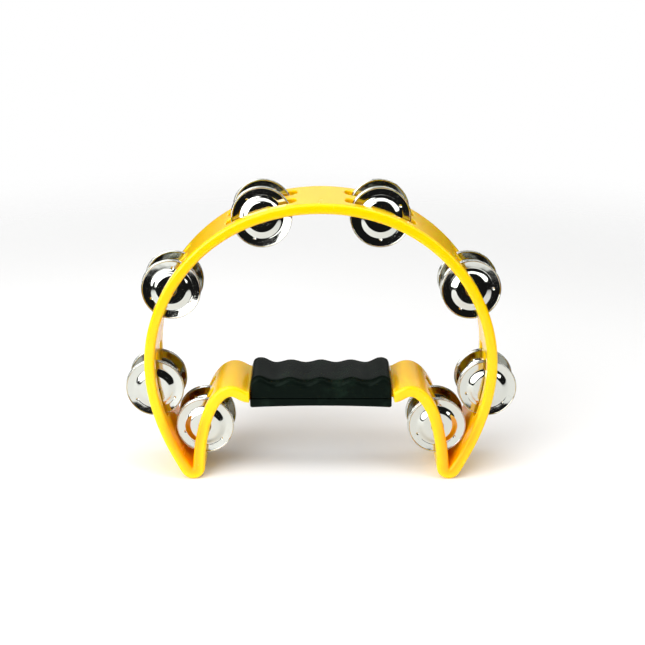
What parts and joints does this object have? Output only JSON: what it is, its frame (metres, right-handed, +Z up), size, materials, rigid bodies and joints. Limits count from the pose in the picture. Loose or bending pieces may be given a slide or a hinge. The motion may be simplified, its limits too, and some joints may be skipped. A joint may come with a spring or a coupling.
{
  "type": "tambourine",
  "caption": "Half-moon hand tambourine: a moulded band frame with an ergonomic handle grip and two rows of paired steel jingles on cross pins.",
  "frame": {"origin": "on the surface that the two horn tips stand on, under the middle of the band's width and depth", "axes": "+X to the player's right along the band's width, +Y from the front edge of the band to the rear edge, +Z up from the horn tips to the crown"},
  "size_m": [0.2752, 0.052, 0.2098],
  "materials": {
    "frame_plastic": "glossy injection moulded, saturated yellow",
    "grip_rubber": "satin black moulded grip",
    "bright_steel": "bright nickel-plated pressed steel",
    "plain_steel": "plain zinc-plated steel"
  },
  "bodies": {
    "frame_body": {"frame": "frame_plastic", "grip_upper": "grip_rubber", "grip_lower": "grip_rubber", "grip_screw_left": "plain_steel", "grip_screw_right": "plain_steel", "pin_crown_left": "plain_steel", "pin_crown_right": "plain_steel", "pin_shoulder_left": "plain_steel", "pin_shoulder_right": "plain_steel", "pin_flank_left": "plain_steel", "pin_flank_right": "plain_steel", "pin_horn_left": "plain_steel", "pin_horn_right": "plain_steel"},
    "jingle_crown_left_front_1": {"jingle_crown_left_front_1": "bright_steel"},
    "jingle_crown_left_front_2": {"jingle_crown_left_front_2": "bright_steel"},
    "jingle_crown_left_rear_1": {"jingle_crown_left_rear_1": "bright_steel"},
    "jingle_crown_left_rear_2": {"jingle_crown_left_rear_2": "bright_steel"},
    "jingle_crown_right_front_1": {"jingle_crown_right_front_1": "bright_steel"},
    "jingle_crown_right_front_2": {"jingle_crown_right_front_2": "bright_steel"},
    "jingle_crown_right_rear_1": {"jingle_crown_right_rear_1": "bright_steel"},
    "jingle_crown_right_rear_2": {"jingle_crown_right_rear_2": "bright_steel"},
    "jingle_shoulder_left_front_1": {"jingle_shoulder_left_front_1": "bright_steel"},
    "jingle_shoulder_left_front_2": {"jingle_shoulder_left_front_2": "bright_steel"},
    "jingle_shoulder_left_rear_1": {"jingle_shoulder_left_rear_1": "bright_steel"},
    "jingle_shoulder_left_rear_2": {"jingle_shoulder_left_rear_2": "bright_steel"},
    "jingle_shoulder_right_front_1": {"jingle_shoulder_right_front_1": "bright_steel"},
    "jingle_shoulder_right_front_2": {"jingle_shoulder_right_front_2": "bright_steel"},
    "jingle_shoulder_right_rear_1": {"jingle_shoulder_right_rear_1": "bright_steel"},
    "jingle_shoulder_right_rear_2": {"jingle_shoulder_right_rear_2": "bright_steel"},
    "jingle_flank_left_front_1": {"jingle_flank_left_front_1": "bright_steel"},
    "jingle_flank_left_front_2": {"jingle_flank_left_front_2": "bright_steel"},
    "jingle_flank_left_rear_1": {"jingle_flank_left_rear_1": "bright_steel"},
    "jingle_flank_left_rear_2": {"jingle_flank_left_rear_2": "bright_steel"},
    "jingle_flank_right_front_1": {"jingle_flank_right_front_1": "bright_steel"},
    "jingle_flank_right_front_2": {"jingle_flank_right_front_2": "bright_steel"},
    "jingle_flank_right_rear_1": {"jingle_flank_right_rear_1": "bright_steel"},
    "jingle_flank_right_rear_2": {"jingle_flank_right_rear_2": "bright_steel"},
    "jingle_horn_left_front_1": {"jingle_horn_left_front_1": "bright_steel"},
    "jingle_horn_left_front_2": {"jingle_horn_left_front_2": "bright_steel"},
    "jingle_horn_left_rear_1": {"jingle_horn_left_rear_1": "bright_steel"},
    "jingle_horn_left_rear_2": {"jingle_horn_left_rear_2": "bright_steel"},
    "jingle_horn_right_front_1": {"jingle_horn_right_front_1": "bright_steel"},
    "jingle_horn_right_front_2": {"jingle_horn_right_front_2": "bright_steel"},
    "jingle_horn_right_rear_1": {"jingle_horn_right_rear_1": "bright_steel"},
    "jingle_horn_right_rear_2": {"jingle_horn_right_rear_2": "bright_steel"}
  },
  "joints": [
    {"name": "jingle_crown_left_front_1_slide", "type": "slide", "parent": "frame_body", "child": "jingle_crown_left_front_1", "axis": [0, -1, 0], "range_m": [-0.0002, 0.0005]},
    {"name": "jingle_crown_left_front_2_slide", "type": "slide", "parent": "frame_body", "child": "jingle_crown_left_front_2", "axis": [0, 1, 0], "range_m": [-0.0002, 0.0005]},
    {"name": "jingle_crown_left_rear_1_slide", "type": "slide", "parent": "frame_body", "child": "jingle_crown_left_rear_1", "axis": [0, -1, 0], "range_m": [-0.0002, 0.0005]},
    {"name": "jingle_crown_left_rear_2_slide", "type": "slide", "parent": "frame_body", "child": "jingle_crown_left_rear_2", "axis": [0, 1, 0], "range_m": [-0.0002, 0.0005]},
    {"name": "jingle_crown_right_front_1_slide", "type": "slide", "parent": "frame_body", "child": "jingle_crown_right_front_1", "axis": [0, -1, 0], "range_m": [-0.0002, 0.0005]},
    {"name": "jingle_crown_right_front_2_slide", "type": "slide", "parent": "frame_body", "child": "jingle_crown_right_front_2", "axis": [0, 1, 0], "range_m": [-0.0002, 0.0005]},
    {"name": "jingle_crown_right_rear_1_slide", "type": "slide", "parent": "frame_body", "child": "jingle_crown_right_rear_1", "axis": [0, -1, 0], "range_m": [-0.0002, 0.0005]},
    {"name": "jingle_crown_right_rear_2_slide", "type": "slide", "parent": "frame_body", "child": "jingle_crown_right_rear_2", "axis": [0, 1, 0], "range_m": [-0.0002, 0.0005]},
    {"name": "jingle_shoulder_left_front_1_slide", "type": "slide", "parent": "frame_body", "child": "jingle_shoulder_left_front_1", "axis": [0, -1, 0], "range_m": [-0.0002, 0.0005]},
    {"name": "jingle_shoulder_left_front_2_slide", "type": "slide", "parent": "frame_body", "child": "jingle_shoulder_left_front_2", "axis": [0, 1, 0], "range_m": [-0.0002, 0.0005]},
    {"name": "jingle_shoulder_left_rear_1_slide", "type": "slide", "parent": "frame_body", "child": "jingle_shoulder_left_rear_1", "axis": [0, -1, 0], "range_m": [-0.0002, 0.0005]},
    {"name": "jingle_shoulder_left_rear_2_slide", "type": "slide", "parent": "frame_body", "child": "jingle_shoulder_left_rear_2", "axis": [0, 1, 0], "range_m": [-0.0002, 0.0005]},
    {"name": "jingle_shoulder_right_front_1_slide", "type": "slide", "parent": "frame_body", "child": "jingle_shoulder_right_front_1", "axis": [0, -1, 0], "range_m": [-0.0002, 0.0005]},
    {"name": "jingle_shoulder_right_front_2_slide", "type": "slide", "parent": "frame_body", "child": "jingle_shoulder_right_front_2", "axis": [0, 1, 0], "range_m": [-0.0002, 0.0005]},
    {"name": "jingle_shoulder_right_rear_1_slide", "type": "slide", "parent": "frame_body", "child": "jingle_shoulder_right_rear_1", "axis": [0, -1, 0], "range_m": [-0.0002, 0.0005]},
    {"name": "jingle_shoulder_right_rear_2_slide", "type": "slide", "parent": "frame_body", "child": "jingle_shoulder_right_rear_2", "axis": [0, 1, 0], "range_m": [-0.0002, 0.0005]},
    {"name": "jingle_flank_left_front_1_slide", "type": "slide", "parent": "frame_body", "child": "jingle_flank_left_front_1", "axis": [0, -1, 0], "range_m": [-0.0002, 0.0017]},
    {"name": "jingle_flank_left_front_2_slide", "type": "slide", "parent": "frame_body", "child": "jingle_flank_left_front_2", "axis": [0, 1, 0], "range_m": [-0.0002, 0.0017]},
    {"name": "jingle_flank_left_rear_1_slide", "type": "slide", "parent": "frame_body", "child": "jingle_flank_left_rear_1", "axis": [0, -1, 0], "range_m": [-0.0002, 0.0017]},
    {"name": "jingle_flank_left_rear_2_slide", "type": "slide", "parent": "frame_body", "child": "jingle_flank_left_rear_2", "axis": [0, 1, 0], "range_m": [-0.0002, 0.0017]},
    {"name": "jingle_flank_right_front_1_slide", "type": "slide", "parent": "frame_body", "child": "jingle_flank_right_front_1", "axis": [0, -1, 0], "range_m": [-0.0002, 0.0017]},
    {"name": "jingle_flank_right_front_2_slide", "type": "slide", "parent": "frame_body", "child": "jingle_flank_right_front_2", "axis": [0, 1, 0], "range_m": [-0.0002, 0.0017]},
    {"name": "jingle_flank_right_rear_1_slide", "type": "slide", "parent": "frame_body", "child": "jingle_flank_right_rear_1", "axis": [0, -1, 0], "range_m": [-0.0002, 0.0017]},
    {"name": "jingle_flank_right_rear_2_slide", "type": "slide", "parent": "frame_body", "child": "jingle_flank_right_rear_2", "axis": [0, 1, 0], "range_m": [-0.0002, 0.0017]},
    {"name": "jingle_horn_left_front_1_slide", "type": "slide", "parent": "frame_body", "child": "jingle_horn_left_front_1", "axis": [0, -1, 0], "range_m": [-0.0002, 0.0016]},
    {"name": "jingle_horn_left_front_2_slide", "type": "slide", "parent": "frame_body", "child": "jingle_horn_left_front_2", "axis": [0, 1, 0], "range_m": [-0.0002, 0.0016]},
    {"name": "jingle_horn_left_rear_1_slide", "type": "slide", "parent": "frame_body", "child": "jingle_horn_left_rear_1", "axis": [0, -1, 0], "range_m": [-0.0002, 0.0016]},
    {"name": "jingle_horn_left_rear_2_slide", "type": "slide", "parent": "frame_body", "child": "jingle_horn_left_rear_2", "axis": [0, 1, 0], "range_m": [-0.0002, 0.0016]},
    {"name": "jingle_horn_right_front_1_slide", "type": "slide", "parent": "frame_body", "child": "jingle_horn_right_front_1", "axis": [0, -1, 0], "range_m": [-0.0002, 0.0016]},
    {"name": "jingle_horn_right_front_2_slide", "type": "slide", "parent": "frame_body", "child": "jingle_horn_right_front_2", "axis": [0, 1, 0], "range_m": [-0.0002, 0.0016]},
    {"name": "jingle_horn_right_rear_1_slide", "type": "slide", "parent": "frame_body", "child": "jingle_horn_right_rear_1", "axis": [0, -1, 0], "range_m": [-0.0002, 0.0016]},
    {"name": "jingle_horn_right_rear_2_slide", "type": "slide", "parent": "frame_body", "child": "jingle_horn_right_rear_2", "axis": [0, 1, 0], "range_m": [-0.0002, 0.0016]}
  ]
}
